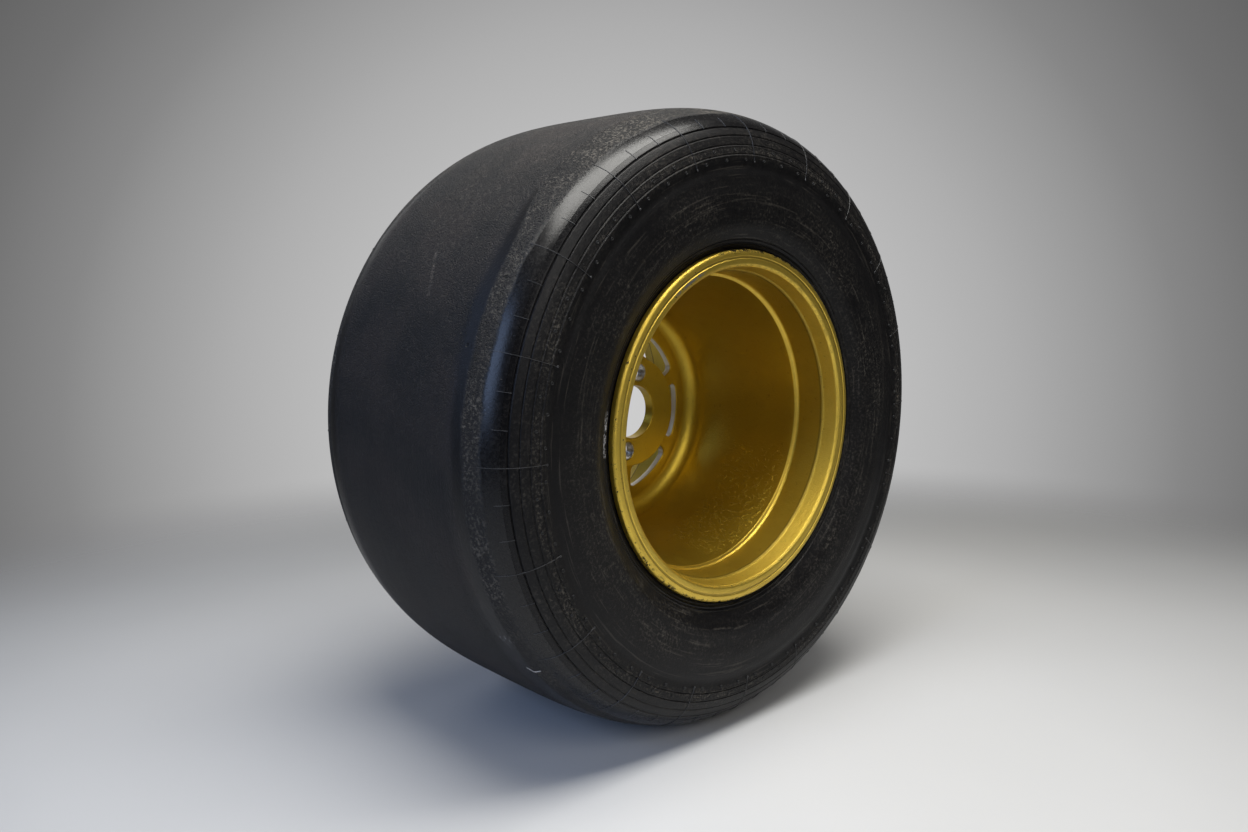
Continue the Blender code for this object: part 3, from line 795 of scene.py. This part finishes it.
def stations(line, first_r, last_r, plain, fine):
    """Points and outward directions between two radii, closer together near the rings."""
    inside = [i for i in range(1, len(line) - 1) if last_r <= line[i][0] <= first_r]
    chosen = []
    since = 1e9
    for i in inside:
        (r0, y0), (radius, along), (r1, y1) = line[i - 1], line[i], line[i + 1]
        since += math.dist(line[i - 1], line[i])
        close = any(abs(radius - at) < half + 0.6 for at, _, half in RINGS if half < 3)
        if since < (fine if close else plain) and i != inside[-1]:
            continue
        length = math.dist((r0, y0), (r1, y1))
        chosen.append(((radius, along), ((y1 - y0) / length, (r0 - r1) / length)))
        since = 0.0
    return chosen


def ring_height(radius):
    return sum(high * (0.5 + 0.5 * math.cos(math.pi * (radius - at) / half))
               for at, high, half in RINGS if abs(radius - at) < half)


def layer(chosen, depth, rings):
    moved = []
    for (radius, along), (out_r, out_y) in chosen:
        lift = (ring_height(radius) if rings else 0.0) - depth
        moved.append((radius + out_r * lift, along + out_y * lift))
    return moved


def flatten_patch(mesh):
    """The tyre stands on a flat patch of its tread."""
    for vertex in mesh.vertices:
        vertex.co.z = max(vertex.co.z, -PATCH_HEIGHT * MM)


def rib(name, line, first_r, last_r, sizes, side, dot):
    """One moulded tick at angle 0, following the skin between two radii."""
    half = sizes.tick_width / 2
    rings = []
    for (radius, along), (out_r, out_y) in stations(line, first_r, last_r, 2.4, 2.4):
        ring = []
        for across, lift in ((-half, SUNK), (-half * 0.45, sizes.tick_height),
                             (half * 0.45, sizes.tick_height), (half, SUNK)):
            ring.append((radius * MM + out_r * lift, side * (along * MM + out_y * lift), across))
        rings.append(ring)
    mesh = lofted(name, rings)
    if dot:
        shape = bmesh.new()
        shape.from_mesh(mesh)
        end = Vector(rings[-1][1]).lerp(Vector(rings[-1][2]), 0.5)
        ball = Matrix.Translation(end) @ Matrix.Diagonal((1, 0.5, 1, 1))
        bmesh.ops.create_uvsphere(shape, u_segments=12, v_segments=8, radius=0.0011, matrix=ball)
        shape.to_mesh(mesh)
        shape.free()
    return mesh


def pip(name, line, at_r, diameter, side):
    """One trimmed vent pip at angle 0: a low stub with a dished top."""
    (radius, along), (out_r, out_y) = stations(line, at_r, at_r - 2, 0.1, 0.1)[0]
    outward = Vector((out_r, side * out_y, 0))
    across = Vector((0, 0, 1))
    down = outward.cross(across)
    centre = Vector((radius * MM, side * along * MM, 0))
    rings = []
    for share, lift in ((1.08, -0.0008), (1.0, 0.0002), (0.93, 0.0006), (0.72, 0.0007),
                        (0.5, 0.00035), (0.2, 0.0003)):
        ring = []
        for k in range(12):
            turn = 2 * math.pi * k / 12
            spoke = (across * math.cos(turn) + down * math.sin(turn)) * diameter / 2 * share
            ring.append(centre + spoke + outward * lift)
        rings.append(ring)
    return lofted(name, rings)


class SLICK_OT_tread(bpy.types.Operator):
    """Builds the worn tread and both shoulders."""

    bl_idname = "slick.tread"
    bl_label = "Tread"

    def execute(self, context):
        sizes, finishes = context.scene.slick_sizes, context.scene.slick_finishes
        chosen = stations(skin_line(), CROWN_R, TREAD_END_R, 4.0, 4.0)
        outer = layer(chosen, 0.0, False)
        inner = layer(chosen[::2] + chosen[-1:], TREAD_RUBBER, False)
        outline = (mirrored(outer)[::-1] + outer) + (mirrored(inner)[::-1] + inner)[::-1]
        mesh = turned("tread_skin", outline, sizes.steps)
        flatten_patch(mesh)
        tread = keep("tread_skin", mesh, slick_rubber("tread_rubber", finishes, 0.32))
        ride(tread, "tread_rubber", "tread_cap")
        return {"FINISHED"}


class SLICK_OT_sidewalls(bpy.types.Operator):
    """Builds both sidewalls with their moulded rings."""

    bl_idname = "slick.sidewalls"
    bl_label = "Sidewalls"

    def execute(self, context):
        sizes, finishes = context.scene.slick_sizes, context.scene.slick_finishes
        rubber = slick_rubber("sidewall_rubber", finishes, 0.20)
        chosen = stations(skin_line(), TREAD_END_R, 170.0, 3.0, 0.32)
        outline = layer(chosen, 0.0, True) + layer(chosen[::6] + chosen[-1:], WALL_RUBBER,
                                                   False)[::-1]
        for name, section in (("outer", mirrored(outline)), ("inner", outline)):
            wall = keep(f"sidewall_{name}_skin",
                        turned(f"sidewall_{name}_skin", section, sizes.steps), rubber, 50.0)
            ride(wall, "sidewall_rubber", f"sidewall_{name}")
        return {"FINISHED"}


class SLICK_OT_mould_marks(bpy.types.Operator):
    """Repeats the moulded ticks and the vent pips round both sidewalls."""

    bl_idname = "slick.mould_marks"
    bl_label = "Ticks and vent pips"

    def execute(self, context):
        sizes = context.scene.slick_sizes
        line = skin_line()
        rubber = plain_rubber("tick_rubber", (0.020, 0.020, 0.021), 0.42, 1.5)
        dark = plain_rubber("pip_rubber", (0.003, 0.003, 0.003), 0.62, 1.5)
        pitch = 2 * math.pi / sizes.tick_count
        for name, side in (("outer", -1), ("inner", 1)):
            for kind, ends, dot, leave in (("long", (314.0, 265.0), True, False),
                                           ("short", (308.0, 298.6), False, True)):
                part = rib(f"{kind}_tick", line, *ends, sizes, side, dot)
                marks = repeated(f"{kind}_ticks_{name}", part, rubber, Count=sizes.tick_count,
                                 Every=3, **{"Leave out": leave, "First turn": sizes.first_tick})
                ride(marks, "sidewall_rubber")
            for row, at_r, shift, skip in (("upper", 276.4, 0.0, True), ("lower", 267.0, 0.5, False)):
                part = pip("vent_pip", line, at_r, sizes.pip_diameter, side)
                pips = repeated(f"vent_pips_{row}_{name}", part, dark, Count=sizes.tick_count,
                                Every=3 if skip else 1, Jitter=math.radians(0.3), Seed=4,
                                **{"Leave out": skip,
                                   "First turn": sizes.first_tick + shift * pitch})
                ride(pips, "sidewall_rubber")
        return {"FINISHED"}


# ---- the wheel


def casting_line():
    """The wheel's whole section, eased at its corners."""
    front = [(radius, -along, ease) for radius, along, ease in RIM_CORNERS]
    foot_r, foot_y = BARREL_FOOT
    fillet = []
    for k in range(11):
        turn = math.radians(9 * k)
        fillet.append((foot_r - FILLET + FILLET * math.cos(turn),
                       foot_y + FILLET * math.sin(turn), 0))
    boss = [(*WEB_FRONT, 3.0), (BOSS_R, 26.2, 0.8), (BOSS_R, BOSS_FACE, 1.0),
            (32.8, BOSS_FACE, 0.2), (32.3, BOSS_FACE - 0.9, 0.3), (30.9, BOSS_FACE - 0.9, 0.3),
            (BORE_R, BOSS_FACE - 0.2, 0.2), (BORE_R, PLATE_BACK, 0.5),
            (BACK_RING_R, PLATE_BACK, 1.2), (BACK_RING_R, BACK_FACE, 0.8), (*WEB_BACK, 2.0)]
    back_web = [(112.9, 50.0, 5.0), (122.5, 52.6, 5.0), (129.0, 58.5, 5.0)]
    well = [(138.6, 56.0, 5.0), (138.6, 22.0, 5.0)]
    return rounded(front + fillet + boss + back_web + list(RIM_CORNERS)[::-1] + well)


def window_corner(centre_r, ease, inset, first, last):
    """A rounded corner's (x, z) points, about a centre at that radius and angle."""
    turn = math.radians(inset)
    x, z = centre_r * math.cos(turn), centre_r * math.sin(turn)
    return [(x + ease * math.cos(at), z + ease * math.sin(at))
            for at in (math.radians(first + (last - first) * k / 7) for k in range(8))]


def window_ring(middle, grow, depth, back):
    """A rounded window's outline grown by some mm, that deep below the web's face."""
    low, high = WINDOW_R[0] - grow, WINDOW_R[1] + grow
    ease = WINDOW_CORNER + grow
    half = WINDOW_HALF_SPAN + math.degrees(grow / sum(WINDOW_R) * 2)
    outer, inner = (half - math.degrees(math.asin(ease / r)) for r in (high - ease, low + ease))
    side = (window_corner(high - ease, ease, outer, outer, half + 90)
            + window_corner(low + ease, ease, inner, half + 90, inner + 180))
    plane = list(side)
    for radius, start, after in ((low, inner, [(x, -z) for x, z in side[::-1]]),
                                 (high, -outer, [])):
        for k in range(1, 8):
            turn = math.radians(start * (1 - k / 4))
            plane.append((radius * math.cos(turn), radius * math.sin(turn)))
        plane += after
    ring = []
    turn = math.radians(middle)
    (foot_r, foot_y), rise = (WEB_BACK, WEB_BACK_RISE) if back else (WEB_FRONT, WEB_RISE)
    for x, z in plane:
        face = foot_y + (math.hypot(x, z) - foot_r) * rise
        ring.append(((x * math.cos(turn) - z * math.sin(turn)) * MM, (face + depth) * MM,
                     (x * math.sin(turn) + z * math.cos(turn)) * MM))
    return ring


def window_cutter(i, edge):
    """A cutter whose flared ends leave rounded edges on both faces of the web."""
    middle = FIRST_WINDOW + 360 * i / WINDOWS
    quarter = [(edge * (1 - math.sin(a)), edge * (1 - math.cos(a)))
               for a in (math.radians(22.5 * k) for k in range(5))]
    rings = [window_ring(middle, edge, -7.0, False)]
    rings += [window_ring(middle, grow, depth, False) for grow, depth in quarter]
    rings += [window_ring(middle, grow, -depth, True) for grow, depth in quarter[::-1]]
    rings.append(window_ring(middle, edge, 9.0, True))
    return lofted(f"window_cutter_{i + 1}", rings)


def drill(name, radius, low, high, place, ease=0.0):
    """A round cutter or stub along Y, from low to high in mm, opened a little at its foot."""
    outline = [(0.01, low), (radius + ease, low), (radius + ease, low + 1.0),
               (radius, low + 1.0 + ease), (radius, high), (0.01, high)]
    return turned(name, outline, 48, place)


def shape_object(mesh):
    shape = bmesh.new()
    shape.from_mesh(mesh)
    bmesh.ops.remove_doubles(shape, verts=shape.verts, dist=0.00003)
    bmesh.ops.recalc_face_normals(shape, faces=shape.faces)
    shape.to_mesh(mesh)
    shape.free()
    obj = bpy.data.objects.new(mesh.name, mesh)
    bpy.context.scene.collection.objects.link(obj)
    return obj


def at_drive_hole(angle):
    x, _, z = on_tyre(angle, DRIVE_CIRCLE_R * MM, 0)
    return Matrix.Translation((x, 0, z))


def along_valve():
    """Turns the Y axis to +X at the valve's place along the axle."""
    return Matrix.Translation((0, VALVE_Y * MM, 0)) @ Matrix.Rotation(math.radians(-90), 4, "Z")


class SLICK_OT_casting(bpy.types.Operator):
    """Builds the one-piece cast wheel with its windows, bore and drive holes."""

    bl_idname = "slick.casting"
    bl_label = "Cast wheel"

    def execute(self, context):
        sizes, finishes = context.scene.wheel_sizes, context.scene.slick_finishes
        gold = gold_paint("gold_paint", finishes)
        wheel = keep("cast_wheel", turned("cast_wheel", casting_line(), sizes.steps), gold)
        pad = drill("valve_pad", VALVE_PAD_R, *VALVE_PAD, along_valve())
        cut(wheel, shape_object(pad), operation="UNION")
        cutters = [shape_object(window_cutter(i, sizes.window_edge / MM))
                   for i in range(WINDOWS)]
        for name, radius, run in (("seal_seat", VALVE_PAD_R, SEAL_CUT),
                                  ("valve_hole", VALVE_HOLE_R, VALVE_CUT)):
            cutters.append(shape_object(drill(name, radius, *run, along_valve())))
        for angle in DRIVE_ANGLES:
            cutters.append(shape_object(drill("drive_hole", DRIVE_HOLE_R, *DRIVE_CUT,
                                              at_drive_hole(angle), 0.5)))
        cut(wheel, *cutters)
        wheel.data.shade_smooth()
        wheel.data.set_sharp_from_angle(angle=math.radians(32))
        ride(wheel, "gold_paint", "wheel_casting")
        return {"FINISHED"}


class SLICK_OT_bushes(bpy.types.Operator):
    """Builds the two steel drive bushes."""

    bl_idname = "slick.bushes"
    bl_label = "Drive bushes"

    def execute(self, context):
        steel = bare_metal("bush_steel", (0.62, 0.60, 0.56), (0.26, 0.22, 0.17), 0.34)
        bore, outer = BUSH_R
        section = rounded([(outer, BUSH_FACE, 0.5), (outer, PLATE_BACK, 0.3),
                           (bore, PLATE_BACK, 0.3), (bore, BUSH_FACE, 0.4)], 4)
        for i, angle in enumerate(DRIVE_ANGLES):
            name = f"drive_bush_sleeve_{i + 1}"
            bush = keep(name, turned(name, section, 64, at_drive_hole(angle)), steel)
            ride(bush, "bush_steel", f"drive_bush_{i + 1}")
        return {"FINISHED"}


class SLICK_OT_valve(bpy.types.Operator):
    """Builds the valve cap with its ribs, and gives the other valve pieces their finish."""

    bl_idname = "slick.valve"
    bl_label = "Valve"

    def execute(self, context):
        plastic = plain_rubber("cap_plastic", (0.012, 0.012, 0.013), 0.38, 3.0)
        hollow_r, hollow_top = CAP_R - CAP_WALL, CAP_TOP - 1.8
        cap_line = rounded([(CAP_R, CAP_OPEN, 0.3), (CAP_R, CAP_TOP - 1.0, 0.3),
                            (CAP_R - 0.8, CAP_TOP, 0.7), (0.05, CAP_TOP, 0),
                            (0.05, hollow_top, 0), (hollow_r, hollow_top, 0.3),
                            (hollow_r, CAP_OPEN, 0.2)], 4)
        shell = shape_object(turned("valve_cap_shell", cap_line, 64, along_valve()))
        ride(keep("valve_cap_body", shell.data, plastic), "cap_plastic", "valve_cap",
             body="valve_cap")
        bpy.data.objects.remove(shell)
        rings = [[((CAP_R - 0.2 + lift) * MM, along * MM, across * MM)
                  for across, lift in ((-0.3, 0.0), (-0.17, RIB_HEIGHT), (0.17, RIB_HEIGHT),
                                       (0.3, 0.0))]
                 for along in (CAP_OPEN + 0.6, CAP_OPEN + 1.0, CAP_TOP - 2.0, CAP_TOP - 1.6)]
        ribs = repeated("valve_cap_ribs", lofted("cap_rib", rings), plastic,
                        Count=context.scene.wheel_sizes.knurls)
        ribs.data.transform(along_valve())
        ride(ribs, "cap_plastic", body="valve_cap")
        brass = bare_metal("valve_brass", (0.62, 0.50, 0.29), (0.30, 0.20, 0.09), 0.28, 1.2)
        steel = bare_metal("valve_steel", (0.56, 0.55, 0.53), (0.28, 0.26, 0.24), 0.26, 1.2)
        seal = plain_rubber("seal_rubber", (0.010, 0.010, 0.010), 0.55, 2.0)
        for material, names in ((brass, ("valve_stem", "valve_nut", "valve_core")),
                                (steel, ("valve_washer", "valve_pin", "valve_spring")),
                                (seal, ("valve_seal", "valve_cap_seal"))):
            repaint(names, material)
        return {"FINISHED"}


def repaint(names, material):
    """Gives carried-over pieces their finish through their material slots."""
    for name in names:
        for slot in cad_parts[name].material_slots:
            slot.material = material


class SLICK_OT_inside(bpy.types.Operator):
    """Gives the plies, liner, fillers, bead cores and chafers their finish."""

    bl_idname = "slick.inside"
    bl_label = "Inside of the tyre"

    def execute(self, context):
        repaint(("carcass_ply",), cord_fabric("carcass_fabric", (0.16, 0.13, 0.09), 2.8))
        repaint(("breaker_ply",), cord_fabric("breaker_fabric", (0.20, 0.15, 0.08), -2.8))
        repaint(("chafer_outer", "chafer_inner"),
                cord_fabric("chafer_fabric", (0.10, 0.095, 0.085), 3.6))
        repaint(("inner_liner",), plain_rubber("liner_rubber", (0.016, 0.016, 0.016), 0.4, 0.3))
        repaint(("bead_filler_outer", "bead_filler_inner"),
                plain_rubber("filler_rubber", (0.012, 0.012, 0.013), 0.6, 0.5))
        repaint(("bead_core_outer", "bead_core_inner"), bead_wire("bead_wire"))
        return {"FINISHED"}


# ---- the studio


# Each soft light: name, place, aim, size, watts and colour.
LAMPS = (
    ("overhead_softbox", (-0.08, -0.40, 1.8), (0.0, -0.1, 0), (1.7, 0.9), 52, (1, 0.985, 0.94)),
    ("cool_side", (-2.1, -0.15, 0.75), (-0.1, -0.1, 0.05), (0.9, 1.2), 16, (0.44, 0.61, 1.0)),
    ("cool_back", (-1.35, 1.25, 1.0), (-0.3, -0.1, 0.1), (0.5, 1.2), 3, (0.45, 0.62, 1.0)),
    ("front_fill", (-0.6, -2.1, 1.2), (0, 0, 0), (1.6, 1.2), 13, (1, 0.98, 0.95)),
    ("back_fill", (0.9, 2.2, 1.2), (0, 0, 0), (2.2, 1.6), 9, (1, 1, 1)),
)


def lamp(name, place, aim, size, power, colour):
    light = bpy.data.lights.new(name, "AREA")
    light.shape = "RECTANGLE"
    light.size, light.size_y = size
    light.energy = power
    light.color = colour
    obj = bpy.data.objects.new(name, light)
    obj.location = place
    obj.rotation_euler = (Vector(aim) - Vector(place)).to_track_quat("-Z", "Y").to_euler()
    bpy.context.scene.collection.objects.link(obj)


def paper_floor(colour):
    """Pale paper that fades into the backdrop's light behind the tyre."""
    p = Paint("studio_paper", roughness=0.7, Specular_IOR_Level=0.25)
    tone = p.noise(0.0022, 3, 0.55)
    fibre = p.noise(0.5, 3, 0.6)
    shade = p.mix(p.over(tone, 0.3, 0.7), tuple(c * 0.97 for c in colour), colour)
    shade = p.mix(p.times(fibre, 0.05), shade, (0.5, 0.5, 0.5))
    # Painted light falloff: the paper darkens with distance from a bright pool in front of the tyre.
    offset = p.vector("MULTIPLY", p.vector("SUBTRACT", p.place, LIGHT_POOL_CENTRE), (1, 1, 0))
    reach = p.length(offset)
    light_falloff = p.ramp(reach, (0, 1.0), (350, 0.92), (600, 0.80), (800, 0.72), (1000, 0.60),
                 (1200, 0.51), (1500, 0.43))
    shade = p.mix(light_falloff, (0, 0, 0), shade)
    p.put(p.shader.inputs["Alpha"], p.over(reach, 1750, 1000))
    return p.done(shade, None, p.bump(fibre, 0.0002, 0.2))


class SLICK_OT_studio(bpy.types.Operator):
    """Builds the paper floor, the lights and the camera."""

    bl_idname = "slick.studio"
    bl_label = "Studio"

    def execute(self, context):
        studio = context.scene.studio_sizes
        shape = bmesh.new()
        bmesh.ops.create_circle(shape, cap_ends=True, segments=96, radius=FLOOR_R,
                                matrix=Matrix.Translation((0, 0, -PATCH_HEIGHT * MM)))
        mesh = bpy.data.meshes.new("paper_floor")
        shape.to_mesh(mesh)
        shape.free()
        mesh.materials.append(paper_floor(tuple(studio.floor)))
        floor = bpy.data.objects.new("paper_floor", mesh)
        context.scene.collection.objects.link(floor)

        world = bpy.data.worlds.new("studio_light")
        world.use_nodes = True
        nodes, links = world.node_tree.nodes, world.node_tree.links
        facing = nodes.new("ShaderNodeVectorMath")
        facing.operation = "DOT_PRODUCT"
        links.new(nodes.new("ShaderNodeTexCoord").outputs["Generated"], facing.inputs[0])
        facing.inputs[1].default_value = GLOW
        spread = nodes.new("ShaderNodeMapRange")
        spread.inputs["From Min"].default_value = 0.60
        links.new(facing.outputs["Value"], spread.inputs["Value"])
        fade = nodes.new("ShaderNodeValToRGB")
        links.new(spread.outputs[0], fade.inputs[0])
        bar = fade.color_ramp.elements
        bar[0].color, bar[1].color = (0.045, 0.045, 0.046, 1), (0.60, 0.60, 0.60, 1)
        for at, level in ((0.2, 0.06), (0.4, 0.09), (0.58, 0.165), (0.68, 0.24), (0.72, 0.29),
                          (0.79, 0.37), (0.83, 0.42)):
            bar.new(at).color = (level, level * 0.997, level, 1)
        links.new(fade.outputs[0], nodes["Background"].inputs["Color"])
        context.scene.world = world
        context.scene.view_settings.view_transform = "Standard"
        for light in LAMPS:
            lamp(*light)

        camera = bpy.data.cameras.new("camera")
        camera.lens = studio.lens
        camera.sensor_width = 36.0
        view = bpy.data.objects.new("camera", camera)
        view.location = studio.place
        view.rotation_euler = (math.pi / 2 - studio.elevation, 0, studio.azimuth)
        context.scene.collection.objects.link(view)
        context.scene.camera = view
        return {"FINISHED"}


STEPS = (SLICK_OT_tread, SLICK_OT_sidewalls, SLICK_OT_mould_marks, SLICK_OT_casting,
         SLICK_OT_bushes, SLICK_OT_valve, SLICK_OT_inside, SLICK_OT_studio)
GROUPS = {"slick_sizes": SlickSizes, "wheel_sizes": WheelSizes,
          "slick_finishes": SlickFinishes, "studio_sizes": StudioSizes}


class SLICK_PT_build(bpy.types.Panel):
    """Sizes, finishes and build steps of the racing slick."""

    bl_label = "Racing slick"
    bl_idname = "SLICK_PT_build"
    bl_space_type = "VIEW_3D"
    bl_region_type = "UI"
    bl_category = "Slick"

    def draw(self, context):
        layout = self.layout
        for name in GROUPS:
            group = getattr(context.scene, name)
            box = layout.box()
            for prop in group.bl_rna.properties:
                if prop.identifier not in ("rna_type", "name"):
                    box.prop(group, prop.identifier)
        for step in STEPS:
            layout.operator(step.bl_idname)


def register():
    for kind in (*GROUPS.values(), *STEPS, SLICK_PT_build):
        bpy.utils.register_class(kind)
    for name, kind in GROUPS.items():
        setattr(bpy.types.Scene, name, bpy.props.PointerProperty(type=kind))


def unregister():
    for name in GROUPS:
        delattr(bpy.types.Scene, name)
    for kind in (SLICK_PT_build, *STEPS[::-1], *list(GROUPS.values())[::-1]):
        bpy.utils.unregister_class(kind)


def main():
    register()
    for step in STEPS:
        getattr(bpy.ops.slick, step.bl_idname.split(".")[1])()


if __name__ == "__main__":
    main()
